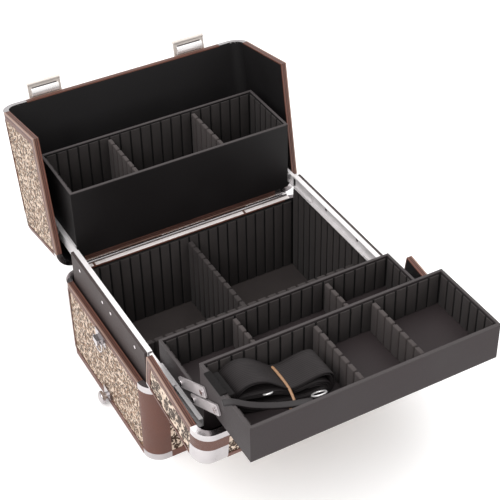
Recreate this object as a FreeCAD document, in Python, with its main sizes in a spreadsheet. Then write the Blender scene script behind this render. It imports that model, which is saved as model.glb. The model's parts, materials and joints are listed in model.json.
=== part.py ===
"""Makeup train case with a split lid, sliding trays and swing-up trays, standing open."""

import FreeCAD, Part
import Sketcher

import math
import os
import re

NAME = "train_case"

# Driving sizes in millimetres and degrees. Each is written once, here.
SIZES = {
    # the carcass
    "case_width": 330, "case_depth": 232, "base_height": 112, "lid_height": 120, "front_lid_depth": 61,
    "board": 5, "trim": 2, "lip": 1.5, "print_skin": 1.2, "corner_radius": 20, "corner_wrap": 26,
    "lid_wrap": 34, "cap_reach": 36, "trim_band": 9,
    "lid_gap": 0.5, "rear_open": 100.4, "front_open": 98.5,
    # hinges
    "hinge_offset": 3, "knuckle_radius": 2.6, "hinge_pin_radius": 1.15, "pin_clearance": 0.08,
    "leaf": 1.2, "leaf_height": 11, "hinge_margin": 19, "knuckle_gap": 0.4, "strip_left": -122, "strip_right": 80,
    # compartment
    "pad": 2, "liner": 4.4, "liner_rise": 18, "rim_drop": 2, "divider": 6, "cross_place": -40,
    "main_place": 0, "divider_drop": 6, "slip": 0.4,
    # slides
    "rail_margin": 16.5, "rail_rise": 22, "rail_height": 18, "rail_depth": 5.9, "wall_gap": 6.5,
    "sheet_metal": 1.2, "slide_clearance": 0.5, "side_board": 3.5, "front_member": 96, "rear_member": 91,
    "front_travel": 115.5, "rear_travel": 103, "member_margin": 2.5,
    # trays
    "tray_gap": 2.4, "tray_wall": 3, "tray_lining": 2.2, "tray_floor": 3, "tray_rise": 19.5,
    "lower_tray_height": 45.5, "upper_tray_height": 45, "rear_tray_height": 92.5, "front_tray_depth": 101,
    "rear_tray_depth": 92.5, "stack_gap": 1, "tray_stop": 0.5, "tray_divider": 5,
    "lower_divider_left": -57, "lower_divider_right": 58, "upper_divider_left": -16, "upper_divider_right": 54,
    "rear_divider_left": -56, "rear_divider_right": 57,
    # swing links
    "link_reach": 48.5, "link_rise": 28, "link_spacing": 28, "link_back": 56.5, "link_pivot_height": 32.5,
    "link_thickness": 2, "link_half_width": 6, "rivet_radius": 2, "rivet_head": 3.2, "rivet_clearance": 0.15,
    "rivet_head_thick": 1.2, "side_clearance": 0.4,
    # latches, handle, rings
    "latch_left": -103, "latch_right": 93, "latch_width": 42, "latch_length": 46, "latch_thick": 2.4, "latch_beyond": 16,
    "latch_pin_radius": 1.6, "latch_mount_height": 6.4, "handle_span": 110, "handle_drop": 14,
    "handle_section": 12, "handle_bar": 10, "handle_pin_radius": 3, "ring_wire": 2, "ring_half_width": 11,
    "ring_depth": 15, "ring_eye": 3.4, "ring_place": 0,
    # strap
    "strap_width": 38, "strap_length": 100, "strap_stack": 34, "strap_place": -81, "band_width": 9, "band": 1,
}

# Sizes that follow from them.
FOLLOWING = {
    "hinge_length": "(case_width - 2 * hinge_margin)",
    "liner_top": "(base_height + liner_rise)", "end_liner_top": "(base_height - rim_drop)",
    "rail_length": "(case_depth - 2 * rail_margin)", "rail_bottom": "(base_height + rail_rise)",
    "rail_outer": "(case_width / 2 - trim - board - wall_gap)",
    "rail_inner": "(case_width / 2 - trim - board - wall_gap - rail_depth)",
    "tray_width": "(case_width - 2 * (trim + board + wall_gap + rail_depth + tray_gap))",
    "tray_bottom": "(base_height + tray_rise)",
}

doc = FreeCAD.newDocument(NAME)
dims = doc.addObject("Spreadsheet::Sheet", "dims")
for row, (alias, value) in enumerate(SIZES.items(), start=1):
    dims.set(f"A{row}", alias)
    dims.set(f"B{row}", str(value))
    dims.setAlias(f"B{row}", alias)
doc.recompute()

WORD = re.compile(r"\b[a-z_]+\b")
nodes = []


def bound(text):
    """An expression over the sheet's aliases."""
    spelled = WORD.sub(lambda found: FOLLOWING.get(found[0], found[0]), str(text))
    return WORD.sub(lambda found: f"dims.{found[0]}" if found[0] in SIZES else found[0], spelled)


def size(alias):
    return float(dims.get(alias))


def bind(item, **properties):
    for name, text in properties.items():
        item.setExpression(name.replace("__", "."), bound(text))


def finish(item, label, place=None):
    """Make an object one named piece of the case."""
    item.Label = label
    if place is not None:
        item.Placement = place
    nodes.append(item)
    return item


# Places that several pieces share, as expressions.
HALF_WIDTH, HALF_DEPTH = "(case_width / 2)", "(case_depth / 2)"
SHELL_X, SHELL_Y = "(case_width / 2 - trim)", "(case_depth / 2 - trim)"
INNER_X, INNER_Y = "(case_width / 2 - trim - board)", "(case_depth / 2 - trim - board)"
PARTING = "(front_lid_depth - case_depth / 2)"
LID_LOW, LID_HIGH = "(base_height + lid_gap)", "(base_height + lid_height)"
TRAY_X = "(tray_width / 2)"
RAIL_TOP = "(rail_bottom + rail_height)"
AXIS_Z = "(base_height + lid_gap / 2)"
FRONT_STOP = "(-rail_length / 2 + tray_stop)"
LOWER_FRONT = "(-rail_length / 2 + tray_stop - front_travel)"
REAR_FRONT = "(rail_length / 2 - tray_stop - rear_tray_depth + rear_travel)"
UPPER_BOTTOM = "(tray_bottom + lower_tray_height + stack_gap)"
UPPER_FRONT = f"({LOWER_FRONT} - 2 * link_reach)"
PIVOT_Z = "(tray_bottom + link_pivot_height)"

rail_length = size("case_depth") - 2 * size("rail_margin")
tray_width = size("case_width") - 2 * sum(map(size, ("trim", "board", "wall_gap", "rail_depth", "tray_gap")))
hinge_y = size("case_depth") / 2 + size("hinge_offset")
hinge_z = size("base_height") + size("lid_gap") / 2
X_AXIS = FreeCAD.Vector(1, 0, 0)


def swung(y, z, degrees):
    """The placement of what is drawn closed and stands turned about an X axis through (y, z)."""
    turn = FreeCAD.Rotation(X_AXIS, degrees)
    centre = FreeCAD.Vector(0, y, z)
    return FreeCAD.Placement(centre - turn.multVec(centre), turn)


REAR_LID = swung(hinge_y, hinge_z, -size("rear_open"))
FRONT_LID = swung(-hinge_y, hinge_z, size("front_open"))


# ---------------------------------------------------------------- Part workbench helpers

def box(name, x, y, z):
    item = doc.addObject("Part::Box", name)
    bind(item, Length=f"({x[1]}) - ({x[0]})", Width=f"({y[1]}) - ({y[0]})", Height=f"({z[1]}) - ({z[0]})",
         Placement__Base__x=x[0], Placement__Base__y=y[0], Placement__Base__z=z[0])
    return item


def rod(name, centre, radius, length, axis="x"):
    """A cylinder along an axis, centred on a point."""
    item = doc.addObject("Part::Cylinder", name)
    turn = {"x": FreeCAD.Rotation(FreeCAD.Vector(0, 1, 0), 90), "y": FreeCAD.Rotation(X_AXIS, -90),
            "z": FreeCAD.Rotation()}[axis]
    item.Placement = FreeCAD.Placement(FreeCAD.Vector(), turn)
    shift = {"x": (1, 0, 0), "y": (0, 1, 0), "z": (0, 0, 1)}[axis]
    bind(item, Radius=radius, Height=length)
    for letter, at, step in zip("xyz", centre, shift):
        item.setExpression(f"Placement.Base.{letter}", bound(f"({at}) - {step} * ({length}) / 2"))
    return item


def cut(base, tool, name):
    item = doc.addObject("Part::Cut", name)
    item.Base, item.Tool = base, tool
    return item


def common(base, tool, name):
    item = doc.addObject("Part::Common", name)
    item.Base, item.Tool = base, tool
    return item


def fuse(parts, name):
    item = doc.addObject("Part::MultiFuse", name)
    item.Shapes = parts
    return item


def group(parts, name):
    item = doc.addObject("Part::Compound", name)
    item.Links = parts
    return item


def straight(edge, axis):
    """Whether an edge is a line along an axis."""
    return isinstance(edge.Curve, (Part.Line, Part.LineSegment)) and abs(
        abs(edge.tangentAt(edge.FirstParameter).dot(FreeCAD.Vector(*axis))) - 1) < 1e-6


def rounded(name, x, y, z, radius, picks):
    """A block with some edges rounded; a pick is (axis, test of the edge's middle against the block)."""
    block = box(f"{name}_block", x, y, z)
    doc.recompute()
    bounds = block.Shape.BoundBox
    item = doc.addObject("Part::Fillet", name)
    item.Base = block
    chosen = []
    for index, edge in enumerate(block.Shape.Edges, start=1):
        middle = edge.CenterOfMass
        if any(straight(edge, axis) and test(middle, bounds) for axis, test in picks):
            chosen.append((index, radius, radius))
    item.Edges = chosen
    return item


def every(middle, bounds):
    return True


def at_back(middle, bounds):
    return abs(middle.y - bounds.YMax) < 1e-6


def at_front(middle, bounds):
    return abs(middle.y - bounds.YMin) < 1e-6


def at_top(middle, bounds):
    return abs(middle.z - bounds.ZMax) < 1e-6


UPRIGHT = [((0, 0, 1), every)]
REAR_EDGES = [((0, 0, 1), at_back), ((0, 1, 0), at_top), ((1, 0, 0), lambda m, b: at_back(m, b) and at_top(m, b))]
FRONT_EDGES = [((0, 0, 1), at_front), ((0, 1, 0), at_top),
               ((1, 0, 0), lambda m, b: at_front(m, b) and at_top(m, b))]


def both(name, x, y, z):
    """The same block on the left and on the right."""
    left = box(f"{name}_left", (f"-({x[1]})", f"-({x[0]})"), y, z)
    return [left, box(f"{name}_right", x, y, z)]


# ---------------------------------------------------------------- Part Design helpers

def body(name):
    return doc.addObject("PartDesign::Body", name)


def plane(owner, role):
    return next(item for item in owner.Origin.OriginFeatures if item.Role == role)


def sketch(owner, name, role, offset=None):
    item = owner.newObject("Sketcher::SketchObject", name)
    item.AttachmentSupport = [(plane(owner, role), "")]
    item.MapMode = "FlatFace"
    if offset is not None:
        item.setExpression("AttachmentOffset.Base.z", bound(offset))
    return item


def rectangle(item, low, high):
    """A rectangle between two corners, each an (across, up) pair of expressions."""
    corners = [FreeCAD.Vector(*xy, 0) for xy in ((1, 1), (2, 1), (2, 2), (1, 2))]
    first = item.GeometryCount
    for k in range(4):
        item.addGeometry(Part.LineSegment(corners[k], corners[(k + 1) % 4]), False)
    for k in range(4):
        item.addConstraint(Sketcher.Constraint("Coincident", first + k, 2, first + (k + 1) % 4, 1))
    for k in (0, 2):
        item.addConstraint(Sketcher.Constraint("Horizontal", first + k))
        item.addConstraint(Sketcher.Constraint("Vertical", first + k + 1))
    for kind, point, text in (("DistanceX", 0, low[0]), ("DistanceY", 0, low[1]),
                              ("DistanceX", 2, high[0]), ("DistanceY", 2, high[1])):
        index = item.addConstraint(Sketcher.Constraint(kind, -1, 1, first + point, 1, 1.0))
        item.setExpression(f"Constraints[{index}]", bound(text))


def circle(item, centre, radius):
    first = item.GeometryCount
    item.addGeometry(Part.Circle(FreeCAD.Vector(1, 1, 0), FreeCAD.Vector(0, 0, 1), 1), False)
    for kind, text in (("DistanceX", centre[0]), ("DistanceY", centre[1])):
        index = item.addConstraint(Sketcher.Constraint(kind, -1, 1, first, 3, 1.0))
        item.setExpression(f"Constraints[{index}]", bound(text))
    index = item.addConstraint(Sketcher.Constraint("Radius", first, 1.0))
    item.setExpression(f"Constraints[{index}]", bound(radius))


def pad(owner, profile, length, name, reverse=False):
    item = owner.newObject("PartDesign::Pad", name)
    item.Profile = profile
    item.Reversed = reverse
    bind(item, Length=length)
    return item


def pocket(owner, profile, length, name, reverse=False):
    item = owner.newObject("PartDesign::Pocket", name)
    item.Profile = profile
    item.Reversed = reverse
    bind(item, Length=length)
    return item


def tub(name, x, y, z, wall, floor):
    """An open-topped box: a padded block with its inside pocketed from the top."""
    owner = body(name)
    outline = sketch(owner, f"{name}_outline", "XY_Plane", z[0])
    rectangle(outline, (x[0], y[0]), (x[1], y[1]))
    pad(owner, outline, f"({z[1]}) - ({z[0]})", f"{name}_pad")
    inside = sketch(owner, f"{name}_inside", "XY_Plane", z[1])
    rectangle(inside, (f"({x[0]}) + {wall}", f"({y[0]}) + {wall}"), (f"({x[1]}) - {wall}", f"({y[1]}) - {wall}"))
    pocket(owner, inside, f"({z[1]}) - ({z[0]}) - ({floor})", f"{name}_pocket")
    return owner


def sleeve(name, x, y, z, wall):
    """Four walls in one ring, with no floor."""
    owner = body(name)
    outline = sketch(owner, f"{name}_outline", "XY_Plane", z[0])
    rectangle(outline, (x[0], y[0]), (x[1], y[1]))
    rectangle(outline, (f"({x[0]}) + {wall}", f"({y[0]}) + {wall}"), (f"({x[1]}) - {wall}", f"({y[1]}) - {wall}"))
    pad(owner, outline, f"({z[1]}) - ({z[0]})", f"{name}_pad")
    return owner


# ---------------------------------------------------------------- base: board shell and its covering

base_hollow = rounded("base_hollow", (f"-{INNER_X}", INNER_X), (f"-{INNER_Y}", INNER_Y),
                      ("board", "base_height + 1"), size("corner_radius") - size("trim") - size("board"), UPRIGHT)
base_block = rounded("base_block", (f"-{SHELL_X}", SHELL_X), (f"-{SHELL_Y}", SHELL_Y), (0, "base_height - lip"),
                     size("corner_radius") - size("trim"), UPRIGHT)
finish(cut(base_block, base_hollow, "base_shell"), "base_shell")

base_envelope = rounded("base_envelope", (f"-{HALF_WIDTH}", HALF_WIDTH), (f"-{HALF_DEPTH}", HALF_DEPTH),
                        (0, "base_height"), size("corner_radius"), UPRIGHT)
base_skin = cut(cut(base_envelope, base_block, "base_skin_outer"), base_hollow, "base_skin")
BAND_LOW, BAND_HIGH = (0, "trim_band"), ("base_height - trim_band", "base_height")


def corner_zones(name, z, ends=(-1, 1)):
    """Blocks that hold the rounded upright corners at the front (-1), the back (1) or both."""
    low, high = "corner_radius", "1"
    zones = []
    for side in (-1, 1):
        x = ((f"{HALF_WIDTH} - corner_wrap", f"{HALF_WIDTH} + {high}") if side > 0
             else (f"-{HALF_WIDTH} - {high}", f"-{HALF_WIDTH} + corner_wrap"))
        for end in ends:
            y = ((f"{HALF_DEPTH} - {low}", f"{HALF_DEPTH} + {high}") if end > 0
                 else (f"-{HALF_DEPTH} - {high}", f"-{HALF_DEPTH} + {low}"))
            zones.append(box(f"{name}_{len(zones)}", x, y, z))
    return fuse(zones, name)


def everywhere(name, z):
    """A slab between two heights, wider than the case."""
    return box(name, (f"-{HALF_WIDTH} - 1", f"{HALF_WIDTH} + 1"), (f"-{HALF_DEPTH} - 1", f"{HALF_DEPTH} + 1"), z)


base_corners = corner_zones("base_corners", (-1, "base_height + 1"))
base_bands = fuse([everywhere("bottom_band", BAND_LOW), everywhere("rim_band", BAND_HIGH)], "base_bands")
band_skin = common(base_skin, base_bands, "base_band_skin")
finish(cut(band_skin, base_corners, "base_edge_frame"), "base_edge_frame")
finish(common(band_skin, base_corners, "base_corner_caps"), "base_corner_caps")
finish(common(cut(base_skin, base_bands, "base_mid_skin"), base_corners, "base_corner_leathers"),
       "base_corner_leathers")
PRINT_X = (SHELL_X, f"{SHELL_X} + print_skin")
PRINT_Y = (SHELL_Y, f"{SHELL_Y} + print_skin")
ALONG_X = (f"-{HALF_WIDTH} + corner_wrap", f"{HALF_WIDTH} - corner_wrap")
LID_ALONG_X = (f"-{HALF_WIDTH} + lid_wrap", f"{HALF_WIDTH} - lid_wrap")
ALONG_Y = (f"-{HALF_DEPTH} + corner_radius", f"{HALF_DEPTH} - corner_radius")
MID_Z = ("trim_band", "base_height - trim_band")
base_prints = both("base_print_side", PRINT_X, ALONG_Y, MID_Z)
base_prints.append(box("base_print_back", ALONG_X, PRINT_Y, MID_Z))
base_prints.append(box("base_print_front", ALONG_X, (f"-({PRINT_Y[1]})", f"-({PRINT_Y[0]})"), MID_Z))
finish(group(base_prints, "base_print_panels"), "base_print_panels")

# ---------------------------------------------------------------- base: padded compartment and slide rails

LINER_X = "(rail_outer - liner)"
finish(common(box("floor_pad_block", (f"-{LINER_X}", LINER_X), (f"-{INNER_Y}", INNER_Y), ("board", "board + pad")),
              base_hollow, "floor_pad"), "floor_pad")
LINER_Z = "(board + pad)"
END_X = (f"-{LINER_X}", LINER_X)
liners = both("side_liner", (LINER_X, "rail_outer"), (f"-{INNER_Y} + liner", f"{INNER_Y} - liner"),
              ("board", "liner_top"))
for word, y in (("back", (f"{INNER_Y} - liner", INNER_Y)), ("front", (f"-{INNER_Y}", f"-{INNER_Y} + liner"))):
    liners.append(common(box(f"{word}_liner_block", END_X, y, (LINER_Z, "end_liner_top")), base_hollow, f"{word}_liner"))
finish(group(liners, "compartment_liners"), "compartment_liners")
RUN_X = (f"-{LINER_X} + slip", f"{LINER_X} - slip")
finish(box("cross_divider", RUN_X, ("cross_place - divider", "cross_place"), (LINER_Z, "end_liner_top")),
       "cross_divider")
finish(box("main_divider", ("main_place - divider / 2", "main_place + divider / 2"),
           ("cross_place + slip", f"{INNER_Y} - liner - slip"), (LINER_Z, "end_liner_top - divider_drop")),
       "main_divider")
RAIL_Y = ("-rail_length / 2", "rail_length / 2")
finish(group(both("side_board", ("rail_outer", "rail_outer + side_board"), RAIL_Y, ("board", RAIL_TOP)),
             "side_boards"), "side_boards")


def channel(name, x, y, z, wall, web):
    """A folded channel along Y: a web at one side, +1 the outer, and two flanges."""
    pair = []
    for side in (-1, 1):
        owner = body(f"{name}_{'left' if side < 0 else 'right'}")
        outline = sketch(owner, f"{owner.Name}_outline", "XZ_Plane")
        low, high = (x[0], x[1]) if side > 0 else (f"-({x[1]})", f"-({x[0]})")
        rectangle(outline, (low, z[0]), (high, z[1]))
        pad(owner, outline, f"({y[1]}) - ({y[0]})", f"{owner.Name}_pad", True)
        groove = sketch(owner, f"{owner.Name}_groove", "XZ_Plane")
        open_low = low if side * web > 0 else f"{low} + {wall}"
        open_high = f"{high} - {wall}" if side * web > 0 else high
        rectangle(groove, (open_low, f"{z[0]} + {wall}"), (open_high, f"{z[1]} - {wall}"))
        pocket(owner, groove, f"({y[1]}) - ({y[0]})", f"{owner.Name}_pocket")
        bind(owner, Placement__Base__y=y[0])
        pair.append(owner)
    return group(pair, name)


finish(channel("slide_rails", ("rail_inner", "rail_outer"), RAIL_Y, ("rail_bottom", RAIL_TOP), "sheet_metal", 1),
       "slide_rails")
MIDDLE_X = ("rail_inner + 0.2", "rail_outer - sheet_metal - slide_clearance")
MIDDLE_Z = ("rail_bottom + sheet_metal + slide_clearance", f"{RAIL_TOP} - sheet_metal - slide_clearance")
INNER_ZONE = (f"{MIDDLE_Z[0]} + sheet_metal + slide_clearance", f"{MIDDLE_Z[1]} - sheet_metal - slide_clearance")
INNER_MEMBER_X = (TRAY_X, f"{MIDDLE_X[1]} - sheet_metal - slide_clearance")
FRONT_MIDDLE = "(-rail_length / 2 + tray_stop - front_travel / 2)"
REAR_MIDDLE = "(rail_length / 2 - tray_stop + rear_travel / 2)"
finish(channel("front_slide_middles", MIDDLE_X, (FRONT_MIDDLE, f"{FRONT_MIDDLE} + front_member"), MIDDLE_Z,
               "sheet_metal", 1), "front_slide_middles")
finish(channel("rear_slide_middles", MIDDLE_X, (f"{REAR_MIDDLE} - rear_member", REAR_MIDDLE), MIDDLE_Z,
               "sheet_metal", 1), "rear_slide_middles")
finish(channel("lower_tray_runners", INNER_MEMBER_X,
               (f"{LOWER_FRONT} + member_margin", f"{LOWER_FRONT} + front_member"), INNER_ZONE, "sheet_metal", -1),
       "lower_tray_runners")
finish(channel("rear_tray_runners", INNER_MEMBER_X,
               (f"{REAR_FRONT} + rear_tray_depth - rear_member",
                f"{REAR_FRONT} + rear_tray_depth - member_margin"), INNER_ZONE, "sheet_metal", -1),
       "rear_tray_runners")
rivets = []
for place in (-76, -13, 9, 73):
    for side in (-1, 1):
        rivets.append(rod(f"rail_rivet_{len(rivets)}",
                          (f"{side} * (rail_outer + side_board + 0.5)", place, "rail_bottom + rail_height / 2"),
                          "rivet_radius", "1"))
finish(group(rivets, "rail_rivets"), "rail_rivets")

# ---------------------------------------------------------------- trays


def tray(name, front, deep, bottom, high, places):
    """A tray box with its padded lining and two dividers."""
    x = (f"-{TRAY_X}", TRAY_X)
    y = (front, f"{front} + {deep}")
    z = (bottom, f"{bottom} + {high}")
    finish(tub(f"{name}_box", x, y, z, "tray_wall", "tray_floor"), f"{name}_box")
    floor = f"{bottom} + tray_floor"
    lining_x = (f"-{TRAY_X} + tray_wall", f"{TRAY_X} - tray_wall")
    lining_y = (f"{front} + tray_wall", f"{front} + {deep} - tray_wall")
    finish(sleeve(f"{name}_lining", lining_x, lining_y, (floor, f"{z[1]} - 1.5"), "tray_lining"), f"{name}_lining")
    dividers = []
    for k, place in enumerate(places):
        dividers.append(box(f"{name}_divider_{k}", (f"{place} - tray_divider / 2", f"{place} + tray_divider / 2"),
                            (f"{lining_y[0]} + tray_lining + slip / 2", f"{lining_y[1]} - tray_lining - slip / 2"),
                            (floor, f"{z[1]} - 3")))
    finish(group(dividers, f"{name}_dividers"), f"{name}_dividers")


tray("lower_tray", LOWER_FRONT, "front_tray_depth", "tray_bottom", "lower_tray_height",
     ("lower_divider_left", "lower_divider_right"))
tray("upper_tray", UPPER_FRONT, "front_tray_depth", UPPER_BOTTOM, "upper_tray_height",
     ("upper_divider_left", "upper_divider_right"))
tray("rear_tray", REAR_FRONT, "rear_tray_depth", "tray_bottom", "rear_tray_height",
     ("rear_divider_left", "rear_divider_right"))

# ---------------------------------------------------------------- swing links between the two front trays

LINK_X = f"({TRAY_X} + side_clearance)"
REAR_PIVOT_Y = f"({LOWER_FRONT} + front_tray_depth - link_back)"
link_tilt = math.degrees(math.atan2(size("link_rise"), size("link_reach")))


def links(name, pivot_y):
    """The left and right arm at one pair of pivots, lying from the lower pivot up and forward."""
    arms = []
    for side in (-1, 1):
        owner = body(f"{name}_{'left' if side < 0 else 'right'}")
        outline = sketch(owner, f"{owner.Name}_outline", "YZ_Plane")
        reach = "sqrt(link_reach * link_reach + link_rise * link_rise)"
        rectangle(outline, ("-link_half_width", "-link_half_width"), (f"{reach} + link_half_width", "link_half_width"))
        blank = pad(owner, outline, "link_thickness", f"{owner.Name}_pad")
        doc.recompute()
        ends = [f"Edge{k}" for k, edge in enumerate(owner.Shape.Edges, start=1) if straight(edge, (1, 0, 0))]
        soft = owner.newObject("PartDesign::Fillet", f"{owner.Name}_ends")
        soft.Base = (blank, ends)
        bind(soft, Radius="link_half_width * 0.45")
        holes = sketch(owner, f"{owner.Name}_holes", "YZ_Plane")
        for along in ("0", reach):
            circle(holes, (along, "0"), "rivet_radius + rivet_clearance")
        bore = pocket(owner, holes, "link_thickness", f"{owner.Name}_bores", True)
        x = tray_width / 2 + size("side_clearance")
        x = x if side > 0 else -x - size("link_thickness")
        turn = FreeCAD.Rotation(X_AXIS, 180 - link_tilt)
        owner.Placement = FreeCAD.Placement(FreeCAD.Vector(x, pivot_y, pivot_z), turn)
        arms.append(owner)
    return finish(group(arms, name), name)


lower_front = -rail_length / 2 + size("tray_stop") - size("front_travel")
pivot_z = size("base_height") + size("tray_rise") + size("link_pivot_height")
rear_pivot_y = lower_front + size("front_tray_depth") - size("link_back")
front_pivot_y = rear_pivot_y - size("link_spacing")
links("rear_links", rear_pivot_y)
links("front_links", front_pivot_y)


def link_rivets(name, shift_y, shift_z):
    """Shouldered rivets on a tray's sides, through the eyes of the arms."""
    found = []
    for side in (-1, 1):
        for back in ("0", "link_spacing"):
            y = f"{REAR_PIVOT_Y} - {back} + ({shift_y})"
            z = f"{PIVOT_Z} + ({shift_z})"
            stem = "2 * side_clearance + link_thickness"
            shank = rod(f"{name}_shank_{len(found)}", (f"{side} * ({TRAY_X} + ({stem}) / 2)", y, z), "rivet_radius", stem)
            head = rod(f"{name}_head_{len(found)}",
                       (f"{side} * ({TRAY_X} + {stem} + rivet_head_thick / 2)", y, z), "rivet_head", "rivet_head_thick")
            found.append(fuse([shank, head], f"{name}_{len(found)}"))
    return finish(group(found, name), name)


link_rivets("lower_link_rivets", "0", "0")
link_rivets("upper_link_rivets", "-link_reach", "link_rise")

# ---------------------------------------------------------------- lids, drawn closed and placed open


def lid(name, y_parting, y_outer, edges, place, sign):
    """One half of the lid: board shell, edge frame, corner caps, leathers and print panels; sign is +1 at the back."""
    span = (lambda near, far: (near, far)) if sign > 0 else (lambda near, far: (far, near))
    inner, shell = f"{sign} * {INNER_Y}", f"{sign} * {SHELL_Y}"
    hollow = rounded(f"{name}_hollow", (f"-{INNER_X}", INNER_X), span(f"{y_parting} - {sign} * 2", inner),
                     ("base_height - 1", f"{LID_HIGH} - trim - board"),
                     size("corner_radius") - size("trim") - size("board"), edges)
    outer = rounded(f"{name}_outer", (f"-{SHELL_X}", SHELL_X), span(f"{y_parting} + {sign} * lip", shell),
                    (f"{LID_LOW} + lip", f"{LID_HIGH} - trim"), size("corner_radius") - size("trim"), edges)
    finish(cut(outer, hollow, f"{name}_shell"), f"{name}_shell", place)
    envelope = rounded(f"{name}_envelope", (f"-{HALF_WIDTH}", HALF_WIDTH), span(y_parting, y_outer),
                       (LID_LOW, LID_HIGH), size("corner_radius"), edges)
    skin = cut(cut(envelope, outer, f"{name}_skin_outer"), hollow, f"{name}_skin")
    wide = (f"-{HALF_WIDTH} - 1", f"{HALF_WIDTH} + 1")
    bands = fuse([box(f"{name}_low_band", wide, span(f"{y_parting} - {sign}", f"{y_outer} + {sign}"),
                      ("base_height", f"{LID_LOW} + trim_band")),
                  box(f"{name}_parting_band", wide, span(f"{y_parting} - {sign}", f"{y_parting} + {sign} * trim_band"),
                      ("base_height", f"{LID_HIGH} + 1"))], f"{name}_bands")
    high = (f"{LID_HIGH} - corner_radius", f"{LID_HIGH} + 1")
    tall = ("base_height", f"{LID_HIGH} + 1")
    full_y = span(f"{y_parting} - {sign}", f"{y_outer} + {sign}")
    edge_y = span(f"{y_outer} - {sign} * corner_radius", f"{y_outer} + {sign}")
    side_x = (f"{HALF_WIDTH} - lid_wrap", f"{HALF_WIDTH} + 1")
    rims = fuse(both(f"{name}_top_side", side_x, full_y, high) + both(f"{name}_upright", side_x, edge_y, tall),
                f"{name}_rims")
    reach_y = span(f"{y_outer} - {sign} * cap_reach", f"{y_outer} + {sign}")
    balls = fuse(both(f"{name}_ball", side_x, reach_y, high), f"{name}_balls")
    top_edge = fuse([rims, box(f"{name}_top_edge", wide, edge_y, high)], f"{name}_rounded")
    banded = common(skin, bands, f"{name}_banded")
    finish(cut(banded, rims, f"{name}_edge_frame"), f"{name}_edge_frame", place)
    caps = fuse([common(banded, rims, f"{name}_rim_caps"), common(skin, balls, f"{name}_ball_caps")],
                f"{name}_corner_caps")
    finish(caps, f"{name}_corner_caps", place)
    leathers = cut(common(cut(skin, bands, f"{name}_mid_skin"), top_edge, f"{name}_rounded_skin"), balls,
                   f"{name}_leathers")
    finish(leathers, f"{name}_corner_leathers", place)
    flat_y = span(f"{y_parting} + {sign} * trim_band", f"{y_outer} - {sign} * corner_radius")
    flat_z = (f"{LID_LOW} + trim_band", f"{LID_HIGH} - corner_radius")
    prints = both(f"{name}_print_side", PRINT_X, flat_y, flat_z)
    prints.append(box(f"{name}_print_wall", LID_ALONG_X, span(shell, f"{shell} + {sign} * print_skin"), flat_z))
    prints.append(box(f"{name}_print_top", LID_ALONG_X, flat_y, (f"{LID_HIGH} - trim", f"{LID_HIGH} - trim + print_skin")))
    finish(group(prints, f"{name}_print_panels"), f"{name}_print_panels", place)


REAR_EDGE, FRONT_EDGE = f"({PARTING} + lid_gap / 2)", f"({PARTING} - lid_gap / 2)"
lid("rear_lid", REAR_EDGE, HALF_DEPTH, REAR_EDGES, REAR_LID, 1)
lid("front_lid", FRONT_EDGE, f"(-{HALF_DEPTH})", FRONT_EDGES, FRONT_LID, -1)


def hinge(name, sign, place):
    """A long hinge outside the back (+1) or front (-1) edge: two leaves with knuckles by turns, and a pin."""
    axis_y = f"{sign} * ({HALF_DEPTH} + hinge_offset)"
    segment = "((hinge_length - 4 * knuckle_gap) / 5)"
    span = (lambda near, far: (near, far)) if sign > 0 else (lambda near, far: (far, near))
    bore = rod(f"{name}_bore", ("0", axis_y, AXIS_Z), "hinge_pin_radius + pin_clearance", "hinge_length + 2")
    for part, turns, up in (("base_leaf", (0, 2, 4), -1), ("lid_leaf", (1, 3), 1)):
        edge = f"{AXIS_Z} + {up} * (knuckle_radius + 0.25)"
        far = f"{edge} + {up} * leaf_height"
        plate_z = (edge, far) if up > 0 else (far, edge)
        pieces = [box(f"{name}_{part}_plate", ("-hinge_length / 2", "hinge_length / 2"),
                      span(f"{sign} * {HALF_DEPTH}", f"{sign} * ({HALF_DEPTH} + leaf)"), plate_z)]
        for k in turns:
            low = f"-hinge_length / 2 + {k} * ({segment} + knuckle_gap)"
            tab_z = (AXIS_Z, f"{edge} + 0.5") if up > 0 else (f"{edge} - 0.5", AXIS_Z)
            pieces.append(box(f"{name}_{part}_tab_{k}", (low, f"{low} + {segment}"),
                              span(f"{sign} * ({HALF_DEPTH} + 0.4)", f"{sign} * ({HALF_DEPTH} + 0.4 + leaf)"), tab_z))
            pieces.append(rod(f"{name}_{part}_knuckle_{k}", (f"{low} + {segment} / 2", axis_y, AXIS_Z),
                              "knuckle_radius", segment))
        leaf = cut(fuse(pieces, f"{name}_{part}_solid"), bore, f"{name}_{part}")
        finish(leaf, f"{name}_{part}", place if up > 0 else None)
    finish(rod(f"{name}_pin", ("0", axis_y, AXIS_Z), "hinge_pin_radius", "hinge_length"), f"{name}_pin")


STRIP_Y, STRIP_Z = (f"{INNER_Y} + 0.8", f"{HALF_DEPTH} - 0.6"), ("base_height", "base_height + 0.4")
strips = [box(f"rim_strip_{k}", span, STRIP_Y, STRIP_Z) for k, span in enumerate(
    (("strip_left", "strip_right"), ("strip_right + 3", "hinge_length / 2"), ("-hinge_length / 2", "strip_left - 3")))]
finish(group(strips, "rear_rim_strip"), "rear_rim_strip")

hinge("rear_hinge", 1, REAR_LID)
hinge("front_hinge", -1, FRONT_LID)

# ---------------------------------------------------------------- latches and handle on the lid's top

LATCH_Z = f"({LID_HIGH} + latch_mount_height - latch_thick)"
LATCH_Y = f"({REAR_EDGE} + latch_length - latch_beyond)"
EAR = "3"


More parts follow.
